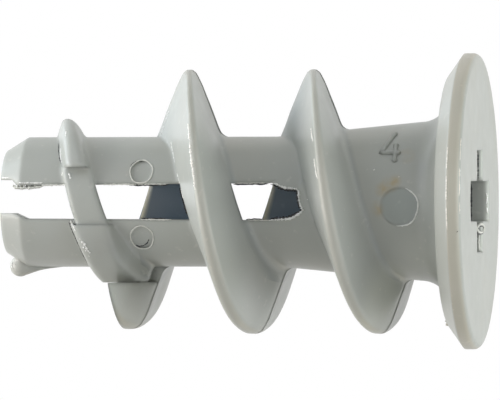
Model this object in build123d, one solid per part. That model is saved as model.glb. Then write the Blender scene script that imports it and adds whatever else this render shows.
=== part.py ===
# Self-drilling plasterboard anchor, moulded in one piece of nylon.
#
# The part stands on its flat head. The origin is the centre of the head's outer
# face, +Z runs along the axis towards the forked tip, and -Y is the side of the
# mould half seen in the photograph. Millimetres.
#
# Nothing moves and nothing is fitted to it, so there is one node and one solid.

from build123d import *

import math
import os

# Overall sizes
TOTAL_LENGTH = 22.0        # head's outer face to the fork's tip
HEAD_RADIUS = 6.82
HEAD_THICKNESS = 1.3       # outer face to the flat underside
HEAD_EDGE = 0.27           # rounding of the outer face's edge
RIM_HEIGHT = 0.35          # straight rim between that rounding and the cone behind it
UNDERSIDE_SETBACK = 0.95   # the cone's reach in from the rim to the flat underside
NECK_BLEND = 1.40          # hollow blend from underside to collar

# Body
COLLAR_RADIUS = 3.66       # collar at the top of the blend
COLLAR_FROM = HEAD_THICKNESS + NECK_BLEND
SHANK_RADIUS = 3.0
SHANK_FROM = 9.4           # collar's cone runs out into the shank here
TIP_RADIUS = 2.38
TIP_CHAMFER = 1.0          # length of the tip's chamfer

# Flights, a right-hand coarse thread
FLIGHT_RADIUS = 6.10
FLIGHT_HALF_ROOT = 1.31    # half thickness at the shank
FLIGHT_HALF_CREST = 0.26   # half thickness at the crest, before its rounding
FLANK_SLOPE = (FLIGHT_HALF_ROOT - FLIGHT_HALF_CREST) / (FLIGHT_RADIUS - SHANK_RADIUS)
CREST_ROUND = 0.32
UPPER_THINNING = 0.18      # taken off the half thickness on the +X side
LOWER_LEAN = 0.02          # lean towards the head on the -X side, per mm of height
END_THINNING = 0.07        # taken off it near the head, all on the tip-facing flank
CREST_AT = 7.74            # height of the first crest on the +X side
START_BELOW_TIP = 2.70     # the thread ends, two turns on, this far below the tip
PITCH = (TOTAL_LENGTH - START_BELOW_TIP - CREST_AT) / 2
ROOT_FILLET = 0.5          # on the head-facing flank only
DRAFT = math.tan(math.radians(0.5))
MEET_DEPTH = 2.2           # depth over which a flank bends to meet the other mould half
FULL_RISE = 2.0            # flights lower than this have a smaller root fillet
MISMATCH = 0.04            # far mould half sits this much nearer the head
SECTIONS = 13              # per half turn
ROOT_DIP = math.radians(16)  # angle at which the fillet meets the body

# Stepped start of the thread: half thickness at the shank, crest radius, crest
# rounding and lag towards the head of each lobe, with the heights X at which one
# lobe steps to the next
LOBE_A = (0.82, 3.85, 0.38, -0.03)
LOBE_B = (0.84, 3.32, 0.20, 0.0)
LOBE_B_BOW = 0.06          # the second lobe's bow towards the tip
LOBE_C_TOP = (1.02, 3.45, 0.35, -0.13)
LOBE_C = (1.12, 3.88, 0.50, 0.0)
LOBE_C_LOW = (1.30, 3.92, 0.50, 0.13)
FIRST_CREST = FLIGHT_RADIUS - 0.22  # crest radius where the first full flight is cut off
FIRST_ROUND = 0.42
LOBE_A_START = (0.69, 3.86, 0.34, 0.05)
LOBE_A_TURN = 5.0          # degrees short of the +X side where it starts
STEP_AB = 1.60
STEP_BC = -1.06
STEP_CD = -3.72
START_TRIM = TOTAL_LENGTH - START_BELOW_TIP - 0.45 * PITCH  # the first full flight is cut off here
START_SLOPE = 0.08         # the cut drops this much per mm away from the axis

# Run-out next to the head, on the far side
RUNOUT_FULL = 28.0         # degrees of full flight past the -X side
RUNOUT_TURN = 95.0         # degrees past the -X side where it has died away
RUNOUT_HALF_ROOT = 0.62
RUNOUT_HEIGHT = 0.12

# Slot left by the moulding core, and the cross recess it makes in the head
BLADE_CLEARANCE = 0.172    # blade past the shank's surface
BLADE_REACH = SHANK_RADIUS + BLADE_CLEARANCE   # half width of the blade, rounded at this radius
SLOT_TIP = 1.52            # slot thickness at the fork's tip
SLOT_HEAD = 1.86           # slot thickness at the head's outer face
CROSS_LENGTH_HEAD = 4.70
CROSS_LENGTH_TIP = 3.20
CROSS_WIDTH_HEAD = 1.86
CROSS_WIDTH_TIP = 1.40
CROSS_CORNER = 0.22

# Step of the slot towards +X at the fork's tip
TIP_STEP = 0.25
TIP_STEP_LENGTH = 0.60     # notch in the upper arm, before its slope
TIP_LUG_LENGTH = 0.74      # lug on the lower arm, before its slope
TIP_LUG_SLOPE = 0.54
TIP_LUG_DEPTH = 0.45       # depth of the lug at the tip's face

# Ejector marks: radius, X, Z and depth below the body's surface
MARKS = (
    (0.50, 1.385, TOTAL_LENGTH - 6.65, 0.09),
    (0.50, -1.64, TOTAL_LENGTH - 6.65, 0.09),
    (0.88, -0.24, COLLAR_FROM + 0.55, 0.06),
)

# Gate stub on the lower fork arm
NIB_RADIUS = 0.49
NIB_AT = (0.04 - SHANK_RADIUS, 0.0, TOTAL_LENGTH - NIB_RADIUS - 0.06)
NIB_TAIL = 2.1
NIB_FAIRING = ((0.0, 0.98), (0.22, 0.72), (0.45, 0.40), (0.72, 0.20), (1.0, 0.06))  # along, width

OVER = 1.0                 # how far cutting solids run past the part


def body_radius(z):
    """Radius of the bare body at a height above the neck blend."""
    if z >= SHANK_FROM:
        return SHANK_RADIUS
    share = (SHANK_FROM - z) / (SHANK_FROM - COLLAR_FROM)
    return SHANK_RADIUS + (COLLAR_RADIUS - SHANK_RADIUS) * share


def make_body():
    """Head, neck, collar and shank as one turned profile."""
    edge = HEAD_EDGE
    face = HEAD_RADIUS - edge
    under = HEAD_RADIUS - UNDERSIDE_SETBACK
    rim_top = edge + RIM_HEIGHT
    top = TOTAL_LENGTH
    blend_from = COLLAR_RADIUS + NECK_BLEND
    turn = NECK_BLEND * (1 - math.sqrt(0.5))
    blend_mid = (COLLAR_RADIUS + turn, HEAD_THICKNESS + turn)
    face_mid = (HEAD_RADIUS - edge * (1 - math.sqrt(0.5)), edge * (1 - math.sqrt(0.5)))
    with BuildPart() as made:
        with BuildSketch(Plane.XZ):
            with BuildLine():
                Line((0, 0), (face, 0))
                ThreePointArc((face, 0), face_mid, (HEAD_RADIUS, edge))
                Line((HEAD_RADIUS, edge), (HEAD_RADIUS, rim_top))
                Line((HEAD_RADIUS, rim_top), (under, HEAD_THICKNESS))
                Line((under, HEAD_THICKNESS), (blend_from, HEAD_THICKNESS))
                ThreePointArc((blend_from, HEAD_THICKNESS), blend_mid, (COLLAR_RADIUS, COLLAR_FROM))
                Line((COLLAR_RADIUS, COLLAR_FROM), (SHANK_RADIUS, SHANK_FROM))
                Line((SHANK_RADIUS, SHANK_FROM), (SHANK_RADIUS, top - TIP_CHAMFER))
                Line((SHANK_RADIUS, top - TIP_CHAMFER), (TIP_RADIUS, top))
                Line((TIP_RADIUS, top), (0, top))
                Line((0, top), (0, 0))
            make_face()
        revolve(axis=Axis.Z)
    return made.part


def half_thickness(r, root, crest, rounding):
    """Half thickness of a flight at radius r, crest rounding included.

    The rounding is held below the radius that would make the crest a full round.
    """
    alpha = math.atan(FLANK_SLOPE)
    at_crest = root - (crest - SHANK_RADIUS) * FLANK_SLOPE
    rounding = min(rounding, 0.93 * at_crest * math.cos(alpha) / (1 - math.sin(alpha)))
    centre = crest - rounding
    flank = root - (r - SHANK_RADIUS) * FLANK_SLOPE
    if r <= centre + rounding * math.sin(alpha):
        return flank
    middle = root - (centre - SHANK_RADIUS) * FLANK_SLOPE - rounding / math.cos(alpha)
    rise = max(0.0, rounding ** 2 - (r - centre) ** 2)
    return middle + math.sqrt(rise)


def drawn_height(x, y, side, shape, upper):
    """Height of a flank over (x, y) in the mould half with y <= 0, as it can be drawn.

    side is -1 for the flank facing the head and +1 for the one facing the tip.
    The mould opens along Y, so the flank never hangs back over itself: each
    point takes the furthest reach of the flank outside it, less the draft.
    upper is 1 where the mould half's own +x is the part's +X, and -1 where it
    is turned round.
    """
    root, crest, rounding, lag = shape
    best = None
    reach = math.sqrt(max(0.0, crest * crest - x * x)) + y
    steps = 48
    for i in range(steps + 1):
        t = max(0.0, reach) * i / steps
        r = min(crest, math.hypot(x, y - t))
        turn = math.atan2(y - t, x)
        if turn > 1e-9:
            turn -= 2 * math.pi
        thin = UPPER_THINNING * ((1 + upper * math.cos(turn)) / 2) ** 2
        lean = LOWER_LEAN * (r - SHANK_RADIUS) * ((1 - upper * math.cos(turn)) / 2) ** 2
        z = PITCH * turn / (2 * math.pi) - lag - lean
        z += side * (half_thickness(r, root - thin, crest, rounding) + t * DRAFT)
        if best is None or side * z > side * best:
            best = z
    return best


def flank_height(x, y, side, shape, upper):
    """Height of a flank, bent near the parting plane to meet the other mould half's.

    The low lobes of the stepped start aren't bent.
    """
    z = drawn_height(x, y, side, shape, upper)
    low = shape[1] - SHANK_RADIUS < FULL_RISE
    if low or side * x <= 0 or -y >= MEET_DEPTH:
        return z
    here = drawn_height(x, 0.0, side, shape, upper)
    other = drawn_height(-x, 0.0, side, shape, -upper) + side * PITCH / 2
    near = 1 + y / MEET_DEPTH
    return z + max(0.0, side * (other - here)) * side * near * near * (3 - 2 * near)


def fillet_reach(height, f):
    """Sideways reach of a root fillet of radius f at a height above the body."""
    alpha = math.atan(FLANK_SLOPE)
    centre = f * math.cos(ROOT_DIP)
    if height >= centre - f * math.sin(alpha):
        return 0.0
    flank_to_centre = f / math.cos(alpha) + (centre - height) * -FLANK_SLOPE
    drop = centre - height
    return max(0.0, flank_to_centre - math.sqrt(max(0.0, f * f - drop * drop)))


ROOT_STEPS = (-0.03, 0.0, 0.03, 0.07, 0.13, 0.21, 0.32, 0.46)


def radii(root_radius, crest, rounding):
    """Radii at which a section is worked out, closer near root and crest."""
    scale = min(1.0, (crest - root_radius) / 1.6)
    out = [root_radius + s * scale for s in ROOT_STEPS]
    low = out[-1]
    high = crest - rounding * (1 - math.sin(math.atan(FLANK_SLOPE)))
    count = 5
    out += [low + (high - low) * (i + 1) / count for i in range(count)]
    for angle in (42, 63, 80, 90):
        out.append(crest - rounding * (1 - math.sin(math.radians(angle))))
    return out


def spaced(points):
    """Parameters in proportion to position along the list, same for all sections."""
    n = len(points) - 1
    return [i / n for i in range(n + 1)]


def section(turn, lift, flip, shape):
    """Closed outline of the flight in the half plane at one turn angle.

    turn is the angle inside the mould half, -pi to 0. lift raises the section
    and flip turns it by 180 degrees into the other mould half.
    """
    crest, rounding = shape[1:3]
    inner = SHANK_RADIUS - 0.5
    around = turn + (math.pi if flip else 0.0)
    upper = -1 if flip else 1
    lines = []
    for side in (-1, 1):
        z0 = lift + flank_height(SHANK_RADIUS * math.cos(turn),
                                 SHANK_RADIUS * math.sin(turn), side, shape, upper)
        root_radius = body_radius(z0)
        round_root = ROOT_FILLET * min(1.0, max(0.0, crest - root_radius) / FULL_RISE)
        points = []
        for r in radii(root_radius, crest, rounding):
            z = lift + flank_height(
                r * math.cos(turn), r * math.sin(turn), side, shape, upper)
            if side < 0:
                out = 0.0
                for _ in range(6):
                    out = fillet_reach(r - body_radius(z - out), round_root)
                z -= out
            points.append((r, z))
        lines.append(points)
    low, high = lines

    def place(p):
        return Vector(p[0] * math.cos(around), p[0] * math.sin(around), p[1])

    corners = (inner, low[0][1]), (inner, high[0][1])
    edges = [
        Edge.make_line(place(corners[0]), place(low[0])),
        Edge.make_spline([place(p) for p in low], parameters=spaced(low)),
        Edge.make_line(place(low[-1]), place(high[-1])),
        Edge.make_spline([place(p) for p in reversed(high)], parameters=spaced(high)),
        Edge.make_line(place(high[0]), place(corners[1])),
        Edge.make_line(place(corners[1]), place(corners[0])),
    ]
    return Wire(edges)


def flight(start, stop, half, shape, taper=None):
    """One stretch of flight inside a mould half, between two angles in degrees.

    half counts half turns from the one seen nearest the head: even ones lie in
    the y <= 0 mould half, odd ones in the other.
    """
    count = max(4, round(SECTIONS * (stop - start) / 180))
    lift = CREST_AT + half * PITCH / 2 - (MISMATCH if half % 2 else 0.0)
    wires = []
    for i in range(count + 1):
        share = i / count
        turn = math.radians(start + (stop - start) * share)
        now = taper(share) if taper else shape
        wires.append(section(turn, lift, half % 2 == 1, now))
    return Solid.make_loft(wires, ruled=False)


def slab(low, high, front=True):
    """Box between two X heights, on the -Y or +Y side."""
    width = high - low
    depth = FLIGHT_RADIUS + OVER
    y = -depth / 2 if front else depth / 2
    box = Box(width, depth, 3 * TOTAL_LENGTH)
    return Pos((low + high) / 2, y, TOTAL_LENGTH / 2) * box


def between(low, high, share):
    """Shape part of the way from one to another, eased at both ends."""
    share = min(1.0, share)
    eased = share * share * (3 - 2 * share)
    return tuple(a + (b - a) * eased for a, b in zip(low, high))


def start_cut(front=True):
    """Wedge above the sloping cut that ends the first full flight, on one side."""
    big = FLIGHT_RADIUS + OVER
    inner = STEP_CD + OVER
    foot = START_TRIM - START_SLOPE * (big + STEP_CD)
    outline = Polyline(
        (inner, START_TRIM + START_SLOPE * OVER), (-big, foot), (-big, TOTAL_LENGTH),
        (inner, TOTAL_LENGTH), close=True)
    return extrude(Plane.XZ * make_face(outline), amount=big if front else -big)


def make_flights():
    """All stretches of flight, from the run-out at the head to the start."""
    full = (FLIGHT_HALF_ROOT, FLIGHT_RADIUS, CREST_ROUND, 0.0)
    thinned = (FLIGHT_HALF_ROOT - END_THINNING, FLIGHT_RADIUS, CREST_ROUND, END_THINNING)
    first_shape = (FLIGHT_HALF_ROOT, FIRST_CREST, FIRST_ROUND, 0.0)
    died = (RUNOUT_HALF_ROOT, COLLAR_RADIUS + RUNOUT_HEIGHT, RUNOUT_HEIGHT / 2, END_THINNING)

    def nearing(share):
        return between(thinned, full, min(1.0, 2 * share))

    def fading(share):
        return between(died, thinned, share * RUNOUT_TURN / (RUNOUT_TURN - RUNOUT_FULL))

    def ending(share):
        return between(full, first_shape, max(0.0, 3 * share - 2))

    def starting(share):
        return between(LOBE_A, LOBE_A_START, share)

    def bowed(share):
        return (*LOBE_B[:3], LOBE_B[3] - LOBE_B_BOW * math.sin(math.pi * share))

    def widening(share):
        if share > 0.5:
            return between(LOBE_C, LOBE_C_TOP, (share - 0.5) / 0.3)
        return between(LOBE_C_LOW, LOBE_C, max(0.0, share - 0.08) / 0.42)

    parts = [flight(-RUNOUT_TURN, 0, -1, full, fading), flight(-180, 0, 0, full, nearing)]
    parts += [flight(-180, 0, half, full) for half in (1, 2)]
    parts.append(flight(-180, 0, 3, full, ending) - start_cut(front=False))
    big = FLIGHT_RADIUS + OVER
    first = flight(-180, -90, 4, first_shape) & slab(-big, STEP_CD)
    parts.append(first - start_cut())
    parts.append(flight(-172, -88, 4, LOBE_C, widening) & slab(STEP_CD, STEP_BC))
    parts.append(flight(-120, -45, 4, LOBE_B, bowed) & slab(STEP_BC, STEP_AB))
    parts.append(flight(-90, -LOBE_A_TURN, 4, LOBE_A, starting) & slab(STEP_AB, big))
    return parts


def tapered(at_head, at_tip, z):
    """Core size at height z, from its sizes at the two ends of the part."""
    return at_head + (at_tip - at_head) * z / TOTAL_LENGTH


def core_section(z):
    """Blade and cross arm of the core at one height, with its hollow corners."""
    thick = tapered(SLOT_HEAD, SLOT_TIP, z)
    long = tapered(CROSS_LENGTH_HEAD, CROSS_LENGTH_TIP, z)
    wide = tapered(CROSS_WIDTH_HEAD, CROSS_WIDTH_TIP, z)
    outline = Rectangle(thick, 2 * (BLADE_REACH + OVER)) + Rectangle(long, wide)
    inner = [
        v for v in outline.vertices()
        if abs(abs(v.X) - thick / 2) < 1e-5 and abs(abs(v.Y) - wide / 2) < 1e-5
    ]
    return Pos(0, 0, z) * fillet(inner, CROSS_CORNER)


def make_blade():
    """The moulding core: slot blade and cross arm, both with draft."""
    low, high = -OVER, TOTAL_LENGTH + OVER
    core = loft(Sketch() + [core_section(low), core_section(high)])
    return core & (Pos(0, 0, (low + high) / 2) * Cylinder(BLADE_REACH, high - low))


def make_tip_step():
    """Notch to cut in the upper fork arm, and lug to add to the lower one on the -Y side."""
    edge = SLOT_TIP / 2
    top = TOTAL_LENGTH
    notch_from = top - TIP_STEP_LENGTH
    notch = Polyline(
        (0, top + OVER), (0, notch_from - TIP_STEP), (edge, notch_from - TIP_STEP),
        (edge + TIP_STEP, notch_from), (edge + TIP_STEP, top + OVER), close=True)
    lug_from = top - TIP_LUG_LENGTH
    lug = Polyline(
        (-edge - TIP_STEP, top), (TIP_STEP - edge, top), (TIP_STEP - edge, lug_from),
        (-edge, lug_from - TIP_LUG_SLOPE), (-edge - TIP_STEP, lug_from - TIP_LUG_SLOPE), close=True)
    notch_cut = extrude(Plane.XZ * make_face(notch), amount=BLADE_REACH, both=True)
    block = extrude(Plane.XZ * make_face(lug), amount=BLADE_REACH)
    hollow = Pos(0, 0, top) * Cylinder(TIP_RADIUS - TIP_LUG_DEPTH, top)
    return notch_cut, (block & make_body()) - hollow


def make_nib():
    """Stub left where the gate was broken off, with a hollow tail running out into the arm."""
    x, y, z = NIB_AT
    tail = [(NIB_RADIUS * width, z - NIB_TAIL * along) for along, width in NIB_FAIRING]
    with BuildPart() as faired:
        with BuildSketch(Plane.XZ):
            with BuildLine():
                Spline(*tail)
                Polyline(tail[-1], (0, tail[-1][1]), (0, z), tail[0])
            make_face()
        revolve(axis=Axis.Z)
    return Pos(x, y, z) * Sphere(NIB_RADIUS) + Pos(x, y, 0) * faired.part


def make_marks():
    """Shallow dents left by the ejector pins, each following the body's surface."""
    marks = []
    for radius, x, z, depth in MARKS:
        reach = body_radius(z) + OVER
        pin = Pos(x, -reach / 2, z) * Rot(90, 0, 0) * Cylinder(radius, reach)
        low, high = z - radius - OVER, z + radius + OVER
        with BuildPart() as floor:
            with BuildSketch(Plane.XZ):
                with BuildLine():
                    Polyline((0, low), (body_radius(low) - depth, low),
                             (body_radius(high) - depth, high), (0, high), close=True)
                make_face()
            revolve(axis=Axis.Z)
        marks.append(pin - floor.part)
    return marks


def make_anchor():
    """The whole moulding."""
    body = make_body()
    for part in make_flights():
        body = body + part
    body = body - make_blade()
    notch, lug = make_tip_step()
    body = body - notch + lug
    body = body + make_nib()
    for mark in make_marks():
        body = body - mark
    return body


anchor = make_anchor()
os.makedirs("parts", exist_ok=True)
export_step(anchor, "parts/anchor_body.step")
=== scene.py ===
# Grey nylon plasterboard anchor, moulded in one piece.
#
# The anchor stands on its flat head with its fork up. The photograph was taken
# from the -Y side with the anchor lying on its side, so the camera here is
# rolled a quarter turn and looks from a little below the head's outer face.
# Blender works in metres, in the part's own frame. Places and sizes on the part
# are given in mm, unless a comment says otherwise.

import math
import random

import bpy
from mathutils import Matrix, Vector


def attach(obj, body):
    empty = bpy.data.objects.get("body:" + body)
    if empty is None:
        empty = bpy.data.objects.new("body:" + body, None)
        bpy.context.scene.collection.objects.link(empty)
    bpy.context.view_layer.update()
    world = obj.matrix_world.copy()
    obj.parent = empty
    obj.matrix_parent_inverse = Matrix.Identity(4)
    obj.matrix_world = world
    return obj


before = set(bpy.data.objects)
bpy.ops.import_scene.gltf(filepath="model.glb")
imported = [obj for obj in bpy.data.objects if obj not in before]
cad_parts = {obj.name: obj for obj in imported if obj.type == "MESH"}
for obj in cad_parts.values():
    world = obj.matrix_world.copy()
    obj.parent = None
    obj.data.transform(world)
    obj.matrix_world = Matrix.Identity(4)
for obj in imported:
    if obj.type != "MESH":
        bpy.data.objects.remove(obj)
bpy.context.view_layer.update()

MM = 0.001
BODY = "anchor_body"
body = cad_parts[BODY]

# The part: X is up in the photograph, Z runs to its left
LENGTH = 22.0
PITCH = 5.78
CHAMFER_TALL = 1.05                       # of the tip's chamfer, with a little clearance
SLOT_HALF_HEAD, SLOT_HALF_TIP = 0.93, 0.76
SLOT_CLEAR = 0.12                         # beside the slot, clear of its edge
FORK_FROM = 10.0                          # Z above which the marks lie beside the open slot

# Ragged edge of the skin left at the slot's head end, as X and Z, from the +X side down
SKIN_EDGE = (
    (0.86, 9.32), (0.83, 9.10), (0.72, 8.86), (0.66, 8.70), (0.62, 8.58), (0.61, 8.44),
    (0.60, 8.24), (0.57, 8.07), (0.50, 7.98), (0.39, 7.94), (0.22, 7.97), (0.10, 7.95),
    (-0.10, 7.90), (-0.27, 7.82), (-0.40, 7.77), (-0.48, 7.84), (-0.57, 7.97), (-0.66, 8.11),
    (-0.76, 8.30), (-0.80, 8.45), (-0.82, 8.74), (-0.83, 8.99), (-0.84, 9.24), (-0.88, 9.38),
)
SKIN_LAP = (1.02, 9.00)                   # X and Z of its corners, past the slot's edges
SKIN_JOIN, SKIN_END = 7.64, 7.24          # Z where the slot is closed, and where the skin ends
SKIN_ABOVE = 0.003                        # skin just over the surface round it

# Light beads along the slot's edges: side, from Z, to Z, thickness
EDGE_BEADS = (
    (1, 18.75, 19.95, 0.035), (1, 14.0, 17.3, 0.030), (1, 9.5, 11.1, 0.025),
    (-1, 13.9, 15.4, 0.030), (-1, 9.3, 10.4, 0.030),
)

# Painted shade along the lower lips inside the slot's mouth, as dark beads: side, from Z, to Z
LIP_SHADES = ((1, 9.4, 11.05), (1, 14.0, 15.9), (-1, 9.6, 10.45), (-1, 14.2, 15.35))

# Fine light lines as places in the photograph, with their thickness in mm: pale chipped spots and flash,
# and painted highlights along crests, edges and the head's rim
CHIP_AND_HIGHLIGHT_LINES = (
    (((71, 220), (73, 225), (76, 231)), 0.034),
    (((82, 240), (83, 242), (84, 243)), 0.050),
    (((84.5, 242), (85.5, 245), (86, 246)), 0.050),
    (((86, 246), (87, 248), (88, 250)), 0.055),
    (((88, 250), (90, 252), (91, 253)), 0.040),
    (((83, 246), (84, 247), (85, 248)), 0.045),
    (((85.5, 250), (87, 251)), 0.040),
    (((80, 238), (81, 240)), 0.035),
    (((89, 255), (90, 257)), 0.030),
    (((69.5, 173), (70.5, 176), (71, 179)), 0.050),
    (((63, 172), (62.5, 176)), 0.045),
    (((60.5, 148), (61, 156), (62, 163)), 0.040),
    (((66.5, 131), (65.5, 137)), 0.025),
    (((169, 110), (167, 117), (165, 123)), 0.020),
    (((164, 125), (162.5, 130), (161.5, 134)), 0.024),
    (((171, 141), (173, 152), (175, 163)), 0.022),
    (((177, 172), (181, 188), (184, 200)), 0.022),
    # painted highlights along the crest of a flight
    (((188.5, 124), (189.3, 132), (190.0, 141)), 0.055),
    (((190, 142), (191, 152), (192.6, 166), (194.5, 180), (195.6, 190)), 0.060),
    (((470.3, 182), (470.2, 200), (470.3, 221)), 0.040),
    (((476.2, 151), (476.2, 180)), 0.034),
    (((476.3, 223), (476.3, 245)), 0.034),
    (((487.0, 193), (487.8, 198), (487.0, 204)), 0.032),
    (((487.3, 207), (488.0, 213)), 0.036),
    # painted highlights along the head's rim
    (((445.3, 147), (444.6, 158), (444.0, 170)), 0.020),
    (((443.9, 176), (443.6, 190), (443.6, 200)), 0.024),
    (((443.7, 206), (444.0, 219), (444.6, 230)), 0.020),
    (((458.6, 138), (457.8, 150), (457.3, 162)), 0.020),
    (((457.1, 168), (456.8, 182), (456.7, 196)), 0.022),
    (((456.8, 202), (457.1, 214)), 0.018),
    (((310.5, 128), (311.5, 136), (312.5, 142)), 0.040),
    (((313.5, 158), (315, 170), (317, 180)), 0.044),
    (((307, 199), (307.6, 199.6)), 0.035),
    (((303, 201), (303.4, 201.6)), 0.025),
    (((373, 170), (373.5, 170.5)), 0.045),
    (((397.6, 176.6), (398.2, 177.4)), 0.045),
    (((2, 177.6), (6, 177.8), (9.5, 177.4)), 0.030),
    (((19, 182.6), (24, 183.0), (30, 182.8)), 0.034),
    (((30, 182.8), (36, 183.0), (43, 182.8)), 0.030),
    (((12, 261.5), (11.4, 265), (12, 269)), 0.030),
)

# Painted shade as fine dark lines along shaded steps, edges, creases and inside marks, in the same way
SHADES = (
    (((69.0, 221.5), (72.8, 231), (78.0, 243), (83.4, 255), (87.0, 263)), 0.024),
    (((58.4, 143), (58.5, 150), (59.7, 158), (61.2, 164)), 0.018),
    (((178.9, 187), (181.3, 196), (184.1, 206), (187.2, 216)), 0.036),
    (((14, 264), (15, 264.8)), 0.035),
    (((13, 268.5), (13.5, 269)), 0.022),
    (((472.2, 183), (472.0, 200), (472.2, 220)), 0.034),
    (((454.5, 231), (455, 231.6)), 0.040),
    (((478.0, 151), (478.0, 180)), 0.026),
    (((478.2, 223), (478.2, 245)), 0.026),
    (((130.3, 167.2), (132.6, 163.8), (136, 161.6), (140, 161), (143.5, 161.9)), 0.022),
    (((149.4, 239), (147.4, 243), (143.8, 245.5), (139.6, 246.2), (135.2, 244.9)), 0.026),
)

# Flash under the upper fork arm: Z and hang below the slot's edge
TIP_FLASH = (
    (19.90, 0.02), (20.10, 0.10), (20.35, 0.14), (20.60, 0.13), (20.85, 0.15),
    (21.05, 0.14), (21.20, 0.12), (21.34, 0.04),
)

# Rims thrown up round the ejector marks: X, Z, radius, from and to degrees, thickness
SMALL_MARK_RIMS = ((1.385, 15.35, 0.53, 0, 360, 0.036), (-1.64, 15.35, 0.53, 0, 360, 0.036))
LARGE_MARK_RIM = (-0.24, 3.25, 0.90, -100, 72, 0.040)

# Raised digit, as strokes on a 1 by 1 square with its foot at the bottom
DIGIT_STROKES = (((0.62, 1.0), (0.0, 0.32), (1.0, 0.32)), ((0.72, 0.62), (0.72, 0.0)))
DIGIT_AT = (2.47, 3.73)
DIGIT_TALL, DIGIT_WIDE, DIGIT_STROKE = 1.36, 0.92, 0.12

# Loose curl in the head's recess, and a burr under the head's rim
CURL_AT, CURL_REACH = (-1.25, 0.55, 0.02), (0.19, 0.75, 0.05)
RIM_BURR_AT = (-5.66, -1.55, 1.36)

# Photograph's framing
VIEW_TILT = math.radians(8.69)            # camera below square to the axis
VIEW_ROLL = math.radians(-0.095)
VIEW_WIDTH = 23.08                        # of the part's plane across the frame
VIEW_LENS = 1000.0
SENSOR = 36.0
VIEW_CENTRE = (0.075, 0.0, 10.701)
PHOTO_WIDE, PHOTO_TALL = 500, 400

view_sight = Vector((0, math.cos(VIEW_TILT), math.sin(VIEW_TILT)))
view_side = view_sight.cross(Vector((1, 0, 0)))
view_up = Vector((1, 0, 0)) * math.cos(VIEW_ROLL) - view_side * math.sin(VIEW_ROLL)
view_right = view_side * math.cos(VIEW_ROLL) + Vector((1, 0, 0)) * math.sin(VIEW_ROLL)


# Node trees

BLACK, WHITE = (0, 0, 0), (1, 1, 1)


class Nodes:
    """Short calls for building a node tree."""

    def __init__(self, owner):
        owner.use_nodes = True
        self.tree = owner.node_tree
        self.tree.nodes.clear()

    def add(self, kind, settings=None, **inputs):
        node = self.tree.nodes.new(kind)
        for name, value in (settings or {}).items():
            setattr(node, name, value)
        for name, value in inputs.items():
            self.set(node, name.replace("_", " "), value)
        return node

    def set(self, node, name, value):
        socket = node.inputs[int(name)] if name.isdigit() else node.inputs[name]
        if isinstance(value, bpy.types.NodeSocket):
            self.tree.links.new(value, socket)
        else:
            socket.default_value = value

    def math(self, operation, a, b=0.0):
        node = self.add("ShaderNodeMath", {"operation": operation})
        self.set(node, "0", a)
        self.set(node, "1", b)
        return node.outputs[0]

    def product(self, first, *others):
        for other in others:
            first = self.math("MULTIPLY", first, other)
        return first

    def mix(self, amount, a, b, blend="MIX"):
        node = self.add("ShaderNodeMix", {"data_type": "RGBA", "blend_type": blend})
        # a mix node's sockets for colour have the same names as those for numbers
        for index, value in ((0, amount), (6, a), (7, b)):
            self.set(node, str(index), value)
        return node.outputs[2]

    def ramp(self, value, *stops):
        node = self.add("ShaderNodeValToRGB", Fac=value)
        points = node.color_ramp.elements
        while len(points) < len(stops):
            points.new(0.5)
        for point, (at, colour) in zip(points, stops):
            point.position = at
            point.color = colour if len(colour) == 4 else (*colour, 1.0)
        return node.outputs["Color"]

    def rising(self, value, low, high):
        return self.ramp(value, (low, BLACK), (high, WHITE))

    def falling(self, value, low, high):
        return self.ramp(value, (low, WHITE), (high, BLACK))


class Surface(Nodes):
    """Node tree that knows where on the part it is, in mm, and which way it faces."""

    def __init__(self, material):
        super().__init__(material)
        self.where = self.add("ShaderNodeTexCoord").outputs["Object"]
        place = self.add("ShaderNodeSeparateXYZ", Vector=self.where).outputs
        self.x, self.y, self.z = (self.math("DIVIDE", place[i], MM) for i in range(3))
        squares = self.math("ADD", self.product(self.x, self.x), self.product(self.y, self.y))
        self.radius = self.math("SQRT", squares)
        normal = self.add("ShaderNodeNewGeometry").outputs["Normal"]
        self.facing = self.add("ShaderNodeSeparateXYZ", Vector=normal).outputs
        self.outward = self.math(
            "ADD", self.product(self.facing[0], self.x), self.product(self.facing[1], self.y))
        self.level = self.math("ABSOLUTE", self.facing[2])

    def noise(self, scale, detail, rough):
        node = self.add(
            "ShaderNodeTexNoise", Vector=self.where, Scale=scale, Detail=detail, Roughness=rough)
        return node.outputs["Fac"]

    def near(self, place, full, gone):
        """1 within a radius of a place, falling to 0 at a larger one."""
        apart = self.add("ShaderNodeVectorMath", {"operation": "DISTANCE"})
        self.set(apart, "0", self.where)
        self.set(apart, "1", [v * MM for v in place])
        share = self.math("DIVIDE", apart.outputs["Value"], gone * MM)
        return self.falling(share, full / gone, 1.0)


# Nylon

def srgb(red, green, blue):
    """Linear colour from 0-255 screen values."""
    def linear(v):
        v /= 255
        return v / 12.92 if v <= 0.04045 else ((v + 0.055) / 1.055) ** 2.4
    return linear(red), linear(green), linear(blue), 1.0


GREY_LOW = srgb(161, 165, 159)
GREY_HIGH = srgb(166, 170, 165)
GREY_WARM = srgb(173, 169, 157)
GREY_SPECK = srgb(196, 196, 188)
GREY_STUB = srgb(184, 184, 176)
STAIN = srgb(166, 150, 112)

# Noise: scale per metre, detail, roughness. Fades: noise value where it starts and is full.
CLOUD_NOISE, CLOUD_FADE = (300.0, 2.0, 0.55), (0.30, 0.70)
PATCH_NOISE, PATCH_FADE, PATCH_SHARE = (210.0, 2.0, 0.55), (0.48, 0.70), 0.18
SPECK_NOISE, SPECK_FADE, SPECK_SHARE = (2600.0, 2.0, 0.50), (0.66, 0.72), 0.25
STAIN_NOISE, STAIN_FADE = (1300.0, 3.0, 0.60), (0.34, 0.60)
RIPPLE_NOISE = (900.0, 3.0, 0.50)
GRAIN_NOISE, GRAIN_SHARE = (5200.0, 3.0, 0.60), 0.30

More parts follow.
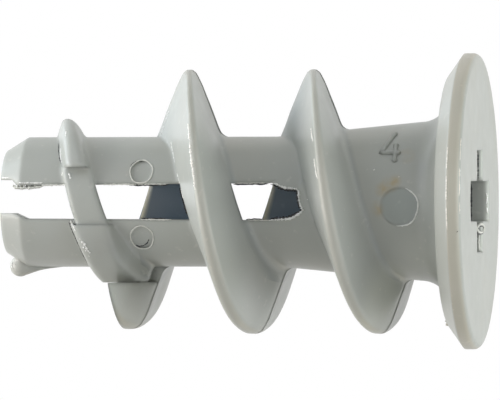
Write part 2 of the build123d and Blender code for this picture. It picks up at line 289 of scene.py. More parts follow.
# Warmer crests and rim: radius that counts as 1, share of it where the tint starts and is
# full, and how level the face is, from 0 to 1, where the tint starts to go and is gone
CREST_REACH, CREST_FADE, CREST_LEVEL = 8.0, (0.60, 0.74), (0.55, 0.88)
CREST_TINT = (1.035, 1.00, 0.96, 1)

# Cream rounding of the head's rim: Z below this and radius above this
RIM_LOW, RIM_RADIUS = 0.62, 6.3
RIM_TINT = (1.07, 1.03, 0.98, 1)

# Painted shade on the floor of the slot behind the flights, which lies in the dark. It faces the
# axis, above a Z and within a radius. Its edge towards the tip is painted lit, at a Z on the axis;
# it slants with X and comes again every pitch. The painted shades follow from that edge, as shares
# of a pitch.
BED_RADIUS, BED_LOW, BED_INWARD = 3.20, 5.0, -2.4
BED_EDGE, BED_SLANT = 10.36, 0.245
BED_SHADES = (
    (0.01, (1.55, 1.45, 1.25)),
    (0.05, (0.62, 0.72, 0.95)),
    (0.30, (0.52, 0.66, 0.92)),
)

# Painted light and shade on the walls of the recess that face the camera: Y past this, Z below
# this, facing -Y by this much. They are painted paler towards the mouth and darker deeper in,
# with the shades set at Z.
WALL_BEHIND, WALL_LOW, WALL_FACING = 0.3, 1.2, -0.7
WALL_SHADES = (
    (0.00, (1.9, 1.9, 1.88)),
    (0.12, (1.5, 1.5, 1.5)),
    (0.30, (1, 1, 1)),
    (0.60, (0.86, 0.86, 0.86)),
)

# Shade in the crease where a flight's head side meets the shank: Z at +X, largest radius,
# Z range, and how far it faces out. The shade goes within a width, between shares of it.
CREASE_AT, CREASE_RADIUS, CREASE_LOW, CREASE_HIGH = 6.42, 3.75, 3.6, 15.6
CREASE_OUTWARD = 1.0
CREASE_WIDTH, CREASE_FADE = 0.4, (0.05, 0.50)
CREASE_TINT = (0.80, 0.82, 0.84, 1)

# More turns than the part has, so that a count of turns never falls below 0
WHOLE_TURNS = 4

# Brown residue on the collar: X, Y, Z, size and strength, full and gone at these sizes
STAINS = (
    (0.77, -3.48, 3.71, 0.30, 0.8), (0.54, -3.49, 4.03, 0.26, 0.8), (0.95, -3.45, 3.43, 0.22, 0.6),
    (-0.29, -3.49, 4.27, 0.24, 0.7), (-0.57, -3.46, 4.22, 0.20, 0.6), (2.10, -2.97, 2.96, 0.30, 0.5),
)
STAIN_FULL, STAIN_GONE = 0.2, 1.6

# Paler gate stub: place, radius where full and gone, and strength
STUB_AT, STUB_FULL, STUB_GONE, STUB_SHARE = (-2.98, 0.0, 21.6), 0.5, 0.95, 0.5

# Painted shade and painted light in places on the body, the darker floor of the large ejector
# mark among them: place, radius where full, radius where gone, tint
PAINTED_LIGHT_AND_SHADE = (
    ((-0.24, -3.56, 3.25), 0.80, 0.92, (0.84, 0.88, 0.90, 1)),
    ((-4.60, -1.00, 16.1), 1.00, 2.40, (0.82, 0.82, 0.80, 1)),
    ((-2.20, -3.40, 17.1), 0.40, 1.60, (0.80, 0.80, 0.79, 1)),
    ((-4.50, -1.60, 4.50), 0.80, 2.20, (1.17, 1.17, 1.12, 1)),
    ((-2.70, -2.80, 2.10), 0.60, 1.80, (1.14, 1.14, 1.13, 1)),
    ((2.40, -2.60, 2.10), 0.60, 1.80, (0.90, 0.90, 0.90, 1)),
)

# Relief: strength, height in metres, and how it goes on faces that lie level
BUMP_STRENGTH, BUMP_HEIGHT = 0.30, 0.00004
BUMP_LEVEL = ((0.70, WHITE), (0.98, (0.05, 0.05, 0.05)))
SOFT_EDGE, SOFT_SAMPLES = 0.0003, 8       # radius in metres, seen in the light only

# Values of the ripple with the roughness there
ROUGH_LOW, ROUGH_HIGH = (0.3, (0.32,) * 3), (0.7, (0.38,) * 3)


def mottled(n, low, high, warm):
    """Faintly cloudy colour with warm patches and pale specks."""
    colour = n.ramp(n.noise(*CLOUD_NOISE), (CLOUD_FADE[0], low), (CLOUD_FADE[1], high))
    patches = n.rising(n.noise(*PATCH_NOISE), *PATCH_FADE)
    colour = n.mix(n.math("MULTIPLY", patches, PATCH_SHARE), colour, warm)
    specks = n.rising(n.noise(*SPECK_NOISE), *SPECK_FADE)
    return n.mix(n.math("MULTIPLY", specks, SPECK_SHARE), colour, GREY_SPECK)


def shaded(n, colour):
    """Colour tinted where the part's form calls for it: warmer crests and rim, painted shade in the
    flights' creases, and painted light and shade on the slot's floor and the recess's walls.
    """
    outer = n.rising(n.math("DIVIDE", n.radius, CREST_REACH), *CREST_FADE)
    upright = n.falling(n.level, *CREST_LEVEL)
    colour = n.mix(n.product(outer, upright), colour, CREST_TINT, "MULTIPLY")

    # painted shade on the slot's floor, with a painted lit edge towards the tip
    bed = n.product(
        n.math("LESS_THAN", n.radius, BED_RADIUS), n.math("LESS_THAN", n.outward, BED_INWARD),
        n.math("GREATER_THAN", n.z, BED_LOW))
    slanted = n.math("ADD", n.z, n.math("MULTIPLY", n.x, BED_SLANT))
    edge = n.math("SUBTRACT", BED_EDGE, slanted)
    turns = n.math("DIVIDE", n.math("ADD", edge, WHOLE_TURNS * PITCH), PITCH)
    depth = n.ramp(n.math("FRACT", turns), *BED_SHADES)
    colour = n.mix(bed, colour, depth, "MULTIPLY")

    rim = n.product(
        n.math("LESS_THAN", n.z, RIM_LOW), n.math("GREATER_THAN", n.radius, RIM_RADIUS), upright)
    colour = n.mix(rim, colour, RIM_TINT, "MULTIPLY")

    # painted light at the recess's mouth, painted shade deeper in
    wall = n.product(
        n.math("GREATER_THAN", n.y, WALL_BEHIND), n.math("LESS_THAN", n.facing[1], WALL_FACING),
        n.math("LESS_THAN", n.z, WALL_LOW))
    colour = n.mix(wall, colour, n.ramp(n.z, *WALL_SHADES), "MULTIPLY")

    # half a turn puts the crease at the middle of a whole one
    turn = n.math("DIVIDE", n.math("ARCTAN2", n.y, n.x), 2 * math.pi)
    turns = n.math("SUBTRACT", n.math("DIVIDE", n.math("SUBTRACT", n.z, CREASE_AT), PITCH), turn)
    share = n.math("FRACT", n.math("ADD", turns, WHOLE_TURNS + 0.5))
    apart = n.math("ABSOLUTE", n.math("SUBTRACT", share, 0.5))
    crease = n.product(
        n.falling(n.math("MULTIPLY", apart, PITCH / CREASE_WIDTH), *CREASE_FADE),
        n.math("LESS_THAN", n.radius, CREASE_RADIUS), n.math("GREATER_THAN", n.outward, CREASE_OUTWARD),
        n.math("GREATER_THAN", n.z, CREASE_LOW), n.math("LESS_THAN", n.z, CREASE_HIGH))
    return n.mix(crease, colour, CREASE_TINT, "MULTIPLY")


def marked(n, colour):
    """Colour with the residue, the pale gate stub, and painted light and shade in places."""
    blotch = n.rising(n.noise(*STAIN_NOISE), *STAIN_FADE)
    for x, y, z, size, strength in STAINS:
        near = n.near((x, y, z), STAIN_FULL * size, STAIN_GONE * size)
        colour = n.mix(n.product(near, blotch, strength), colour, STAIN)
    stub = n.near(STUB_AT, STUB_FULL, STUB_GONE)
    colour = n.mix(n.math("MULTIPLY", stub, STUB_SHARE), colour, GREY_STUB)
    for place, full, gone, tint in PAINTED_LIGHT_AND_SHADE:
        colour = n.mix(n.near(place, full, gone), colour, tint, "MULTIPLY")
    return colour


def nylon(name, low, high, warm, soft_edge=0.0):
    """Moulded nylon: faintly cloudy, tinted by place with painted light and shade among the tints,
    with fine relief.
    """
    material = bpy.data.materials.new(name)
    n = Surface(material)
    colour = marked(n, shaded(n, mottled(n, low, high, warm)))
    ripple = n.noise(*RIPPLE_NOISE)
    height = n.math("ADD", n.math("MULTIPLY", n.noise(*GRAIN_NOISE), GRAIN_SHARE), ripple)
    height = n.math("MULTIPLY", height, n.ramp(n.level, *BUMP_LEVEL))
    relief = n.add("ShaderNodeBump", Strength=BUMP_STRENGTH, Distance=BUMP_HEIGHT, Height=height)
    if soft_edge:
        soft = n.add("ShaderNodeBevel", {"samples": SOFT_SAMPLES}, Radius=soft_edge)
        n.set(relief, "Normal", soft.outputs[0])
    gloss = n.ramp(ripple, ROUGH_LOW, ROUGH_HIGH)
    shader = n.add(
        "ShaderNodeBsdfPrincipled", Base_Color=colour, Roughness=gloss, Normal=relief.outputs[0])
    shader.inputs["IOR"].default_value = 1.5
    shader.inputs["Subsurface Weight"].default_value = 0.12
    shader.inputs["Subsurface Radius"].default_value = (1.0, 1.0, 0.9)
    shader.inputs["Subsurface Scale"].default_value = 0.0005
    n.add("ShaderNodeOutputMaterial", Surface=shader.outputs[0])
    return material


body_nylon = nylon("nylon_grey", GREY_LOW, GREY_HIGH, GREY_WARM, SOFT_EDGE)
thin_nylon = nylon("nylon_thin", srgb(196, 198, 190), srgb(214, 216, 208), srgb(205, 200, 184))
# Near-white nylon for pale chipped spots and flash, and for painted highlights on crests, edges and rims
chip_and_highlight_nylon = nylon("nylon_chip_and_highlight", srgb(226, 228, 224), srgb(238, 240, 236), srgb(232, 230, 220))
# Near-black nylon for painted shade: dark tubes laid where there is only shade
painted_shade_nylon = nylon("nylon_painted_shade", srgb(20, 24, 26), srgb(36, 40, 42), srgb(30, 30, 28))
body.data.materials.clear()
body.data.materials.append(body_nylon)


# Places on the surface

# Where rays start: Y in front of the part, and distance before the photograph's plane
FRONT_START, SIGHT_START = -20.0, 30.0


def struck(start, way, what):
    """Point of the part's surface met from start, and its normal."""
    hit, place, normal, _ = body.ray_cast(start * MM, way)
    if not hit:
        raise RuntimeError(f"nothing {what}")
    return place / MM, normal


def front(x, z):
    """Point of the part's surface over (x, z) on the -Y side, and its normal."""
    return struck(Vector((x, FRONT_START, z)), Vector((0, 1, 0)), f"under {x}, {z}")


def seen(px, py):
    """Point of the part's surface behind a place in the photograph, and its normal."""
    across = (px - PHOTO_WIDE / 2) / PHOTO_WIDE * VIEW_WIDTH
    down = (py - PHOTO_TALL / 2) / PHOTO_WIDE * VIEW_WIDTH
    start = Vector(VIEW_CENTRE) + view_right * across - view_up * down - view_sight * SIGHT_START
    return struck(start, view_sight, f"behind {px}, {py}")


def front_radius(x, z):
    place, _ = front(x, z)
    return math.hypot(place.x, place.y)


def at_radius(x, z, radius):
    """Point at a distance from the axis, on the -Y side."""
    return Vector((x, -math.sqrt(radius * radius - x * x), z))


def slot_half(z):
    return SLOT_HALF_HEAD + (SLOT_HALF_TIP - SLOT_HALF_HEAD) * z / LENGTH


def beside_slot(side, z, out=0.0):
    """Point on the slot's edge, carried over from the surface just beside it."""
    x = slot_half(z)
    return at_radius(side * x, z, front_radius(side * (x + SLOT_CLEAR), z) + out)


def spread(low, high, count):
    return [low + (high - low) * i / (count - 1) for i in range(count)]


def resampled(points, count):
    """Places at even spacing along a line of them."""
    lengths = [0.0]
    for a, b in zip(points, points[1:]):
        lengths.append(lengths[-1] + math.dist(a, b))
    out, at = [], 0
    for want in spread(0.0, lengths[-1], count):
        while at < len(points) - 2 and lengths[at + 1] < want:
            at += 1
        share = (want - lengths[at]) / (lengths[at + 1] - lengths[at])
        out.append(tuple(a + (b - a) * share for a, b in zip(points[at], points[at + 1])))
    return out


def stepped(points, steps):
    """Places along a line of them, steps(a, b) to each stretch, and its end."""
    out = []
    for a, b in zip(points, points[1:]):
        count = steps(a, b)
        out += [tuple(p + (q - p) * i / count for p, q in zip(a, b)) for i in range(count)]
    return out + [points[-1]]


# Pieces

BEAD_END, BEAD_RISE = 0.15, 8             # thickness at a bead's ends, and how fast it fills out
ALONG_TOO_CLOSE = 0.2                     # sine under which Y is no guide across a tube


def finish_piece(name, parts, material=thin_nylon):
    """Several (vertices, faces) pairs in mm made into one piece of the part."""
    verts, faces = [], []
    for part_verts, part_faces in parts:
        base = len(verts)
        verts += part_verts
        faces += [tuple(i + base for i in face) for face in part_faces]
    mesh = bpy.data.meshes.new(name)
    mesh.from_pydata([Vector(v) * MM for v in verts], [], faces)
    mesh.update()
    mesh.polygons.foreach_set("use_smooth", [True] * len(mesh.polygons))
    piece = bpy.data.objects.new(name, mesh)
    bpy.context.scene.collection.objects.link(piece)
    mesh.materials.append(material)
    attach(piece, "root")


def tube(points, radii, sides=7):
    """Vertices and faces of a tube along points."""
    count = len(points)
    verts, faces = [], []
    for i, (p, r) in enumerate(zip(points, radii)):
        along = (points[min(i + 1, count - 1)] - points[max(i - 1, 0)]).normalized()
        across = along.cross(Vector((0, 1, 0)))
        if across.length < ALONG_TOO_CLOSE:
            across = along.cross(Vector((1, 0, 0)))
        across.normalize()
        other = along.cross(across)
        for s in range(sides):
            a = 2 * math.pi * s / sides
            verts.append(p + r * (math.cos(a) * across + math.sin(a) * other))
    for i in range(count - 1):
        for s in range(sides):
            a, b = i * sides + s, i * sides + (s + 1) % sides
            faces.append((a, b, b + sides, a + sides))
    faces.append(tuple(reversed(range(sides))))
    faces.append(tuple((count - 1) * sides + s for s in range(sides)))
    return verts, faces


def eased_ends(count, radius, rng, uneven):
    """Radii along a bead, uneven and run out at both ends."""
    out = []
    for share in spread(0.0, 1.0, count):
        end = min(1.0, BEAD_RISE * min(share, 1 - share) + BEAD_END)
        out.append(radius * end * (1 + uneven * (rng.random() * 2 - 1)))
    return out


def bead(points, radius, rng, uneven):
    return tube(points, eased_ends(len(points), radius, rng, uneven))


# Skin: points along its torn edge, their wander in X and Z, and its grid
SKIN_POINTS, SKIN_WANDER_X, SKIN_WANDER_Z = 110, 0.008, 0.016
SKIN_ROWS, SKIN_COLUMNS = 16, 104
# Over the opening it follows the cone beside the slot, and the flight's fillet runs out
# over it: clearance beside the slot, and reach of the fillet in X and in Z
SKIN_BESIDE, FILLET_X, FILLET_Z = 0.03, 0.25, 0.3
# Its light lip, and the shade under it with how far in and down that lies
SKIN_LIP, SKIN_LIP_UNEVEN = 0.046, 0.7
SKIN_SHADE, SKIN_SHADE_UNEVEN, SHADE_IN, SHADE_DOWN = 0.066, 0.6, 0.07, 0.09
ROUNDING = 1e-9


def on_skin(x, z, out):
    """Point at a height over the skin."""
    half = slot_half(z) + SKIN_BESIDE
    if z <= SKIN_JOIN or abs(x) >= half:
        return at_radius(x, z, front_radius(x, z) + out)
    cone = front_radius(-half, z)
    beside = (front_radius(half, z) - cone) * max(0.0, (x - half) / FILLET_X + 1) ** 2
    rise = max(0.0, front_radius(x, SKIN_JOIN) - front_radius(-half, SKIN_JOIN))
    below = rise * max(0.0, 1 - (z - SKIN_JOIN) / FILLET_Z)
    return at_radius(x, z, cone + max(beside, below) + out)


def skin_sheet():
    """Vertices and faces of the skin, column by column down from its torn edge."""
    top = [SKIN_LAP, *SKIN_EDGE, (-SKIN_LAP[0], SKIN_LAP[1])]
    verts, faces = [], []
    for j in range(SKIN_COLUMNS):
        x = SKIN_LAP[0] * (1 - 2 * j / (SKIN_COLUMNS - 1))
        at = max(i for i in range(len(top) - 1) if top[i][0] >= x - ROUNDING)
        (ax, az), (bx, bz) = top[at], top[at + 1]
        edge_z = az + (bz - az) * (ax - x) / (ax - bx)
        verts += [on_skin(x, z, SKIN_ABOVE) for z in spread(edge_z, SKIN_END, SKIN_ROWS)]
    for j in range(SKIN_COLUMNS - 1):
        for i in range(SKIN_ROWS - 1):
            a = j * SKIN_ROWS + i
            faces.append((a, a + 1, a + SKIN_ROWS + 1, a + SKIN_ROWS))
    return verts, faces


def slot_skin():
    """Thin skin closing the slot's head end, torn along a ragged edge."""
    rng = random.Random(11)
    edge = []
    for x, z in resampled(SKIN_EDGE, SKIN_POINTS):
        x += rng.uniform(-SKIN_WANDER_X, SKIN_WANDER_X)
        z += rng.uniform(-SKIN_WANDER_Z, SKIN_WANDER_Z)
        edge.append((x, z))
    lip = [on_skin(x, z, 0.0) for x, z in edge]
    under = []
    for i, (x, z) in enumerate(edge):
        ahead, behind = edge[min(i + 1, len(edge) - 1)], edge[max(i - 1, 0)]
        run = Vector((ahead[0] - behind[0], ahead[1] - behind[1])).normalized()
        under.append(on_skin(x + SHADE_IN * run.y, z - SHADE_IN * run.x, -SHADE_DOWN))
    finish_piece("slot_skin", [skin_sheet()], body_nylon)
    finish_piece("slot_skin_lip", [bead(lip, SKIN_LIP, rng, SKIN_LIP_UNEVEN)], chip_and_highlight_nylon)
    # dark bead of painted shade under the lip
    finish_piece("slot_skin_painted_shade", [bead(under, SKIN_SHADE, rng, SKIN_SHADE_UNEVEN)], painted_shade_nylon)


# Beads along the slot: spacing, fewest points, wander in X, unevenness
BEAD_STEP, BEAD_FEWEST, BEAD_WANDER, BEAD_UNEVEN = 0.06, 8, 0.012, 0.45
# Painted shade along the lips: spacing, how far down and in towards the slot's middle, radius, unevenness
LIP_STEP, LIP_DOWN, LIP_IN, LIP_RADIUS, LIP_UNEVEN = 0.1, 0.07, (0.03, 0.045), 0.045, 0.4


def slot_beads():
    """Uneven light beads left along the slot's edges, and dark beads of painted shade under them."""
    rng = random.Random(5)
    beads = []
    for side, low, high, thick in EDGE_BEADS:
        count = max(BEAD_FEWEST, int((high - low) / BEAD_STEP))
        points = [beside_slot(side, z) for z in spread(low, high, count)]
        for p in points:
            p.x += rng.uniform(-BEAD_WANDER, BEAD_WANDER)
        beads.append(bead(points, thick, rng, BEAD_UNEVEN))
    finish_piece("slot_beads", beads)
    lips = []
    for side, low, high in LIP_SHADES:
        count = int((high - low) / LIP_STEP)
        points = [beside_slot(side, z, -LIP_DOWN) for z in spread(low, high, count)]
        for p in points:
            p.x -= side * rng.uniform(*LIP_IN)
        lips.append(bead(points, LIP_RADIUS, rng, LIP_UNEVEN))
    finish_piece("slot_lip_shades", lips, painted_shade_nylon)


# Layers of flash: depth into the slot, thickness, share of the hang
FLASH_LAYERS = ((0.02, 0.055, 1.0), (0.16, 0.060, 0.8), (0.32, 0.050, 0.6))
FLASH_POINTS, FLASH_SUNK, FLASH_UNEVEN = 40, 0.02, 0.4
FLASH_HANG, FLASH_WANDER = (0.7, 1.1), 0.03
# Strands across the layers: how many, start above the edge and behind it, run past the
# hang, wander in Y and Z, and radii at the start, middle and end
STRANDS, STRAND_ABOVE, STRAND_BEHIND, STRAND_PAST = 16, 0.02, 0.3, 0.03
STRAND_WANDER_Y, STRAND_WANDER_Z = 0.05, 0.1
STRAND_START, STRAND_MIDDLE, STRAND_END = 0.05, (0.04, 0.07), 0.03


def under_arm(z):
    """Point on the slot's upper edge, run straight on past the chamfer."""
    p = beside_slot(1, min(z, LENGTH - CHAMFER_TALL), -FLASH_SUNK)
    p.z = z
    return p


def tip_flash():
    """Torn flash hanging from the upper fork arm into the slot."""
    rng = random.Random(8)
    parts = []
    fine = resampled(TIP_FLASH, FLASH_POINTS)
    for depth, thick, share in FLASH_LAYERS:
        points = []
        for z, hang in fine:
            p = under_arm(z)
            p.x -= hang * share * rng.uniform(*FLASH_HANG)
            p.y += depth + rng.uniform(-FLASH_WANDER, FLASH_WANDER)
            points.append(p)
        parts.append(bead(points, thick, rng, FLASH_UNEVEN))
    for _ in range(STRANDS):
        z, hang = rng.choice(fine)
        p = under_arm(z)
        start = Vector((p.x + STRAND_ABOVE, p.y + rng.uniform(0.0, STRAND_BEHIND), z))
        stop = start + Vector((
            -hang - STRAND_PAST,
            rng.uniform(-STRAND_WANDER_Y, STRAND_WANDER_Y),
            rng.uniform(-STRAND_WANDER_Z, STRAND_WANDER_Z)))
        radii = [STRAND_START, rng.uniform(*STRAND_MIDDLE), STRAND_END]
        parts.append(tube([start, (start + stop) / 2, stop], radii))
    finish_piece("tip_flash", parts)


# Rims: points, waves round and their height, wander, clearance beside the slot, and how
# uneven the whole and the part rims are
RIM_POINTS, RIM_WAVES, RIM_WAVE, RIM_WANDER, RIM_CLEAR = 48, 5, 0.02, 0.006, 0.01
RIM_UNEVEN, PART_RIM_UNEVEN = (-0.3, 0.2), 0.2
WHOLE_CIRCLE = 360


def mark_rim(rng, x, z, radius, low, high, thick):
    """Fine rim round an ejector mark, kept off the open slot."""
    points = []
    for degrees in spread(low, high, RIM_POINTS):
        a = math.radians(degrees)
        reach = radius * (1 + RIM_WAVE * math.sin(RIM_WAVES * a) + rng.uniform(-RIM_WANDER, RIM_WANDER))
        px, pz = x + reach * math.sin(a), z - reach * math.cos(a)
        if abs(px) < slot_half(pz) and pz > FORK_FROM:
            px = math.copysign(slot_half(pz) + RIM_CLEAR, x)
        place, _ = front(px, pz)
        points.append(place)
    radii = [thick * (1 + rng.uniform(*RIM_UNEVEN)) for _ in points]
    if high - low < WHOLE_CIRCLE:
        radii = eased_ends(RIM_POINTS, thick, rng, PART_RIM_UNEVEN)
    return tube(points, radii)


def mark_rims():
    """Fine rims thrown up round the ejector marks."""
    rng = random.Random(21)
    finish_piece("mark_rims", [mark_rim(rng, *rim) for rim in SMALL_MARK_RIMS])
    # the large rim's partial arc in near-white nylon is a painted highlight on the rim
    finish_piece("mark_rim_large", [mark_rim(rng, *LARGE_MARK_RIM)], chip_and_highlight_nylon)


# Lines: spacing in the photograph's own pixels, sunk or raised by a share of the
# thickness, unevenness
LINE_STEP, LINE_FEWEST, LINE_HEIGHT, LINE_UNEVEN = 0.8, 2, (-0.5, 0.1), 0.6


def lines(name, wanted, material):
    """Fine light or dark lines along places in the photograph, as one piece: pale chipped spots, flash
    and painted highlights, or painted shade.
    """
    rng = random.Random(17)
    parts = []
    for line, thick in wanted:
        *places, last = stepped(line, lambda a, b: max(LINE_FEWEST, int(math.dist(a, b) / LINE_STEP)))
        points = []
        for px, py in places:
            place, normal = seen(px, py)
            points.append(place + normal * thick * rng.uniform(*LINE_HEIGHT))
        place, _ = seen(*last)
        points.append(place)
        parts.append(bead(points, thick, rng, LINE_UNEVEN))
    finish_piece(name, parts, material)


# Digit's strokes, in shares of DIGIT_STROKE: height of the middle over the surface, and
# radius along it, at its ends and next to them
DIGIT_HEIGHT, DIGIT_RADIUS, DIGIT_END, DIGIT_SWELL = 0.15, 0.85, 0.4, 1.15
DIGIT_STEPS, DIGIT_SIDES = 12, 10


def digit():
    """Plain raised digit on the collar, its top towards +X."""
    parts = []
    for stroke in DIGIT_STROKES:
        line = [(DIGIT_AT[0] + (v - 0.5) * DIGIT_TALL, DIGIT_AT[1] - (u - 0.5) * DIGIT_WIDE)
                for u, v in stroke]
        points = []
        for x, z in stepped(line, lambda a, b: DIGIT_STEPS):
            place, normal = front(x, z)
            points.append(place + normal * DIGIT_STROKE * DIGIT_HEIGHT)
        radii = [DIGIT_STROKE * DIGIT_RADIUS] * len(points)
        radii[0] = radii[-1] = DIGIT_STROKE * DIGIT_END
        radii[1] = radii[-2] = DIGIT_STROKE * DIGIT_SWELL
        parts.append(tube(points, radii, DIGIT_SIDES))
    finish_piece("digit", parts, body_nylon)


# Curl: points, first angle, turn and rise from each to the next, radius, unevenness
CURL_POINTS, CURL_FROM, CURL_TURN, CURL_STEP = 36, -70, 11, 0.001
CURL_RADIUS, CURL_UNEVEN = 0.060, 0.15
# Torn edge below it: points and their spacing, start from the curl in X and Y, Z, wander
# in Y and Z, radius, unevenness
TEAR_POINTS, TEAR_STEP, TEAR_BELOW, TEAR_NEARER, TEAR_Z = 16, 0.05, 0.28, 0.35, 0.08
TEAR_WANDER_Y, TEAR_WANDER_Z, TEAR_RADIUS, TEAR_UNEVEN = 0.05, 0.015, 0.05, 0.4
# Shade behind the curl: its shift, and how much thicker it is
CURL_SHADE_SHIFT, CURL_SHADE_MORE = (-0.03, 0.04, 0.05), 0.025


def recess_curl():
    """Curl of torn nylon at the head's recess, and a torn edge along its lower arm."""
    rng = random.Random(3)
    x, y, z = CURL_AT
    high, deep, rise = CURL_REACH
    points, radii = [], []
    for i in range(CURL_POINTS):
        a = math.radians(CURL_FROM + CURL_TURN * i)
        points.append(Vector((
            x + high * math.cos(a), y + deep * math.sin(a), z - rise * math.sin(a) + CURL_STEP * i)))
        radii.append(CURL_RADIUS * (1 + rng.uniform(-CURL_UNEVEN, CURL_UNEVEN)))
    tear = []
    for i in range(TEAR_POINTS):
        tear.append(Vector((
            x - TEAR_BELOW - TEAR_STEP * i,
            y - TEAR_NEARER + rng.uniform(-TEAR_WANDER_Y, TEAR_WANDER_Y),
            TEAR_Z + rng.uniform(-TEAR_WANDER_Z, TEAR_WANDER_Z))))
    finish_piece("recess_curl", [tube(points, radii), bead(tear, TEAR_RADIUS, rng, TEAR_UNEVEN)])
    # Dark tube behind the curl: painted shade as a dark outline
    under = [p + Vector(CURL_SHADE_SHIFT) for p in points]
    finish_piece("recess_curl_painted_shade", [tube(under, [r + CURL_SHADE_MORE for r in radii])], painted_shade_nylon)


# Burr: strands and their spacing, start below, lean in X and Y, wander of the end in Z
BURR_STRANDS, BURR_STEP, BURR_BELOW = 6, 0.06, 0.16
BURR_LEAN_X, BURR_LEAN_Y, BURR_WANDER = 0.03, 0.02, (-0.02, 0.06)
BURR_RADII = (0.05, 0.055, 0.03)


def rim_burr():
    """Small burr on the edge of the head's underside."""
    rng = random.Random(9)
    x0, y0, z0 = RIM_BURR_AT
    parts = []
    for i in range(BURR_STRANDS):
        x = x0 + BURR_STEP * i
        start = Vector((x, y0, z0 - BURR_BELOW))
        stop = Vector((x - BURR_LEAN_X, y0 - BURR_LEAN_Y, z0 + rng.uniform(*BURR_WANDER)))
        parts.append(tube([start, (start + stop) / 2, stop], BURR_RADII))
    finish_piece("rim_burr", parts)


slot_skin()
slot_beads()
tip_flash()
mark_rims()
# Pale chipped spots and painted highlights, then painted shade as dark lines
lines("chip_and_highlight_lines", CHIP_AND_HIGHLIGHT_LINES, chip_and_highlight_nylon)
# painted shade as fine dark lines
lines("painted_shade_lines", SHADES, painted_shade_nylon)
digit()
recess_curl()
rim_burr()


# Light

# Lamps' distance from the part's middle and their width, in metres
LAMP_DISTANCE, LAMP_SIZE = 0.16, 0.10
LAMPS = (
    # name, way to it from the part, watts, colour
    ("head_side", (0, -0.2, -1), 0.119, (0.97, 1, 0.96)),
    ("head_front", (0, -1, -1), 0.040, (1.05, 1, 1.05)),
    ("above_head", (0.9, -0.6, -1), 0.030, (0.88, 1, 1.05)),
    ("below_head", (-0.9, -0.6, -1), 0.028, (0.9, 1, 1.15)),
    ("head_behind", (-0.4, 0.8, -1), 0.012, (1, 1, 0.95)),
    ("tip_side", (0, -0.3, 1), 0.175, (1.06, 1, 0.97)),
    ("tip_front", (0, -1, 1), 0.032, (0.92, 1, 1)),
    ("tip_above", (0.4, 0.2, 1), 0.075, (0.88, 1, 1.12)),
    ("tip_behind", (0.1, 0.7, 1), 0.022, (0.85, 1, 1.15)),
    ("above_tip", (0.8, -0.7, 1), 0.021, (0.87, 1, 1.5)),
    ("below_tip", (-0.8, -0.7, 1), 0.022, (1.08, 1, 1)),
    ("above_front", (1.2, -0.1, 1), 0.018, (0.9, 1, 0.8)),
    ("above", (1, -0.3, 0), 0.012, (1.05, 1, 1.1)),
    ("above_behind", (1, 0.6, 0), 0.015, (1.05, 1, 0.92)),
    ("below_behind", (-1, 0.7, -0.3), 0.010, (1.25, 1, 0.5)),
)
# Small lamp for the glints on the crests, with its own width last
GLINT = ("tip_glint", (0.37, -0.15, 0.9), 0.024, (1, 1, 1), 0.025)
AMBIENT, AMBIENT_TINT = 0.36, (1.04, 1.0, 0.93, 1)


def add_lamp(name, way, power, colour, size=LAMP_SIZE):
    """Square lamp, seen from the part in a direction, aimed at its middle."""
    lamp = bpy.data.lights.new(name, "AREA")
    lamp.size = size
    lamp.energy = power
    lamp.color = colour
    holder = bpy.data.objects.new(name, lamp)
    way = Vector(way).normalized()
    holder.location = Vector(VIEW_CENTRE) * MM + way * LAMP_DISTANCE
    holder.rotation_euler = way.to_track_quat("Z", "Y").to_euler()
    bpy.context.scene.collection.objects.link(holder)


def add_world():
    """White where the camera sees it, straight or in a gloss, and dimmer as light."""
    world = bpy.data.worlds.new("tent")
    bpy.context.scene.world = world
    n = Nodes(world)
    rays = n.add("ShaderNodeLightPath").outputs
    white = n.math("MAXIMUM", rays["Is Camera Ray"], rays["Is Transmission Ray"])
    white = n.math("MAXIMUM", white, rays["Is Glossy Ray"])
    strength = n.math("ADD", AMBIENT, n.math("MULTIPLY", white, 1.0 - AMBIENT))
    tint = n.mix(white, AMBIENT_TINT, (*WHITE, 1))
    back = n.add("ShaderNodeBackground", Color=tint, Strength=strength)
    n.add("ShaderNodeOutputWorld", Surface=back.outputs[0])


for row in (*LAMPS, GLINT):
    add_lamp(*row)
add_world()


# Floor

# In metres: half its width, its drop below the part, and the distances from the part's
# axis where it starts and ends turning plain white
FLOOR_HALF, FLOOR_DROP = 0.6, 0.00003
FLOOR_FADE = 0.020, 0.060
FLOOR_COLOUR = (0.86, 0.86, 0.86, 1)


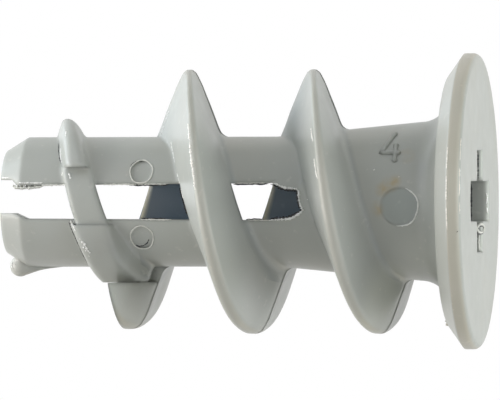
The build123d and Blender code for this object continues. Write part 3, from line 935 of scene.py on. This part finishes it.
def floor_material():
    """White that takes the shadow near the part, is plain further out and clear from below."""
    material = bpy.data.materials.new("floor_white")
    n = Nodes(material)
    distance = n.add("ShaderNodeVectorMath", {"operation": "LENGTH"})
    n.set(distance, "0", n.add("ShaderNodeTexCoord").outputs["Object"])
    share = n.math("DIVIDE", distance.outputs["Value"], FLOOR_FADE[1])
    far = n.rising(share, FLOOR_FADE[0] / FLOOR_FADE[1], 1.0)
    below = n.add("ShaderNodeNewGeometry").outputs["Backfacing"]
    straight = n.add("ShaderNodeLightPath").outputs["Is Camera Ray"]
    glow = n.add("ShaderNodeEmission", Color=(*WHITE, 1), Strength=straight)
    white = n.add("ShaderNodeBsdfDiffuse", Color=FLOOR_COLOUR)
    clear = n.add("ShaderNodeBsdfTransparent")
    top = n.add("ShaderNodeMixShader")
    both = n.add("ShaderNodeMixShader")
    for node, factor, first, second in ((top, far, white, glow), (both, below, top, clear)):
        n.set(node, "0", factor)
        n.set(node, "1", first.outputs[0])
        n.set(node, "2", second.outputs[0])
    n.add("ShaderNodeOutputMaterial", Surface=both.outputs[0])
    return material


corners = [(x * FLOOR_HALF, y * FLOOR_HALF, -FLOOR_DROP) for x, y in ((-1, -1), (1, -1), (1, 1), (-1, 1))]
floor_mesh = bpy.data.meshes.new("floor")
floor_mesh.from_pydata(corners, [], [(0, 1, 2, 3)])
floor_mesh.materials.append(floor_material())
floor = bpy.data.objects.new("floor", floor_mesh)
bpy.context.scene.collection.objects.link(floor)
for rays in ("visible_diffuse", "visible_glossy", "visible_transmission", "visible_shadow"):
    setattr(floor, rays, False)


# Camera

camera = bpy.data.cameras.new("camera")
camera.lens, camera.sensor_width = VIEW_LENS, SENSOR
camera.clip_start, camera.clip_end = 0.01, 10.0
holder = bpy.data.objects.new("camera", camera)
bpy.context.scene.collection.objects.link(holder)
away = VIEW_WIDTH * MM / SENSOR * VIEW_LENS
pose = Matrix((view_right, view_up, -view_sight)).transposed().to_4x4()
pose.translation = Vector(VIEW_CENTRE) * MM - away * view_sight
holder.matrix_world = pose
bpy.context.scene.camera = holder
bpy.context.scene.view_settings.view_transform = "Standard"
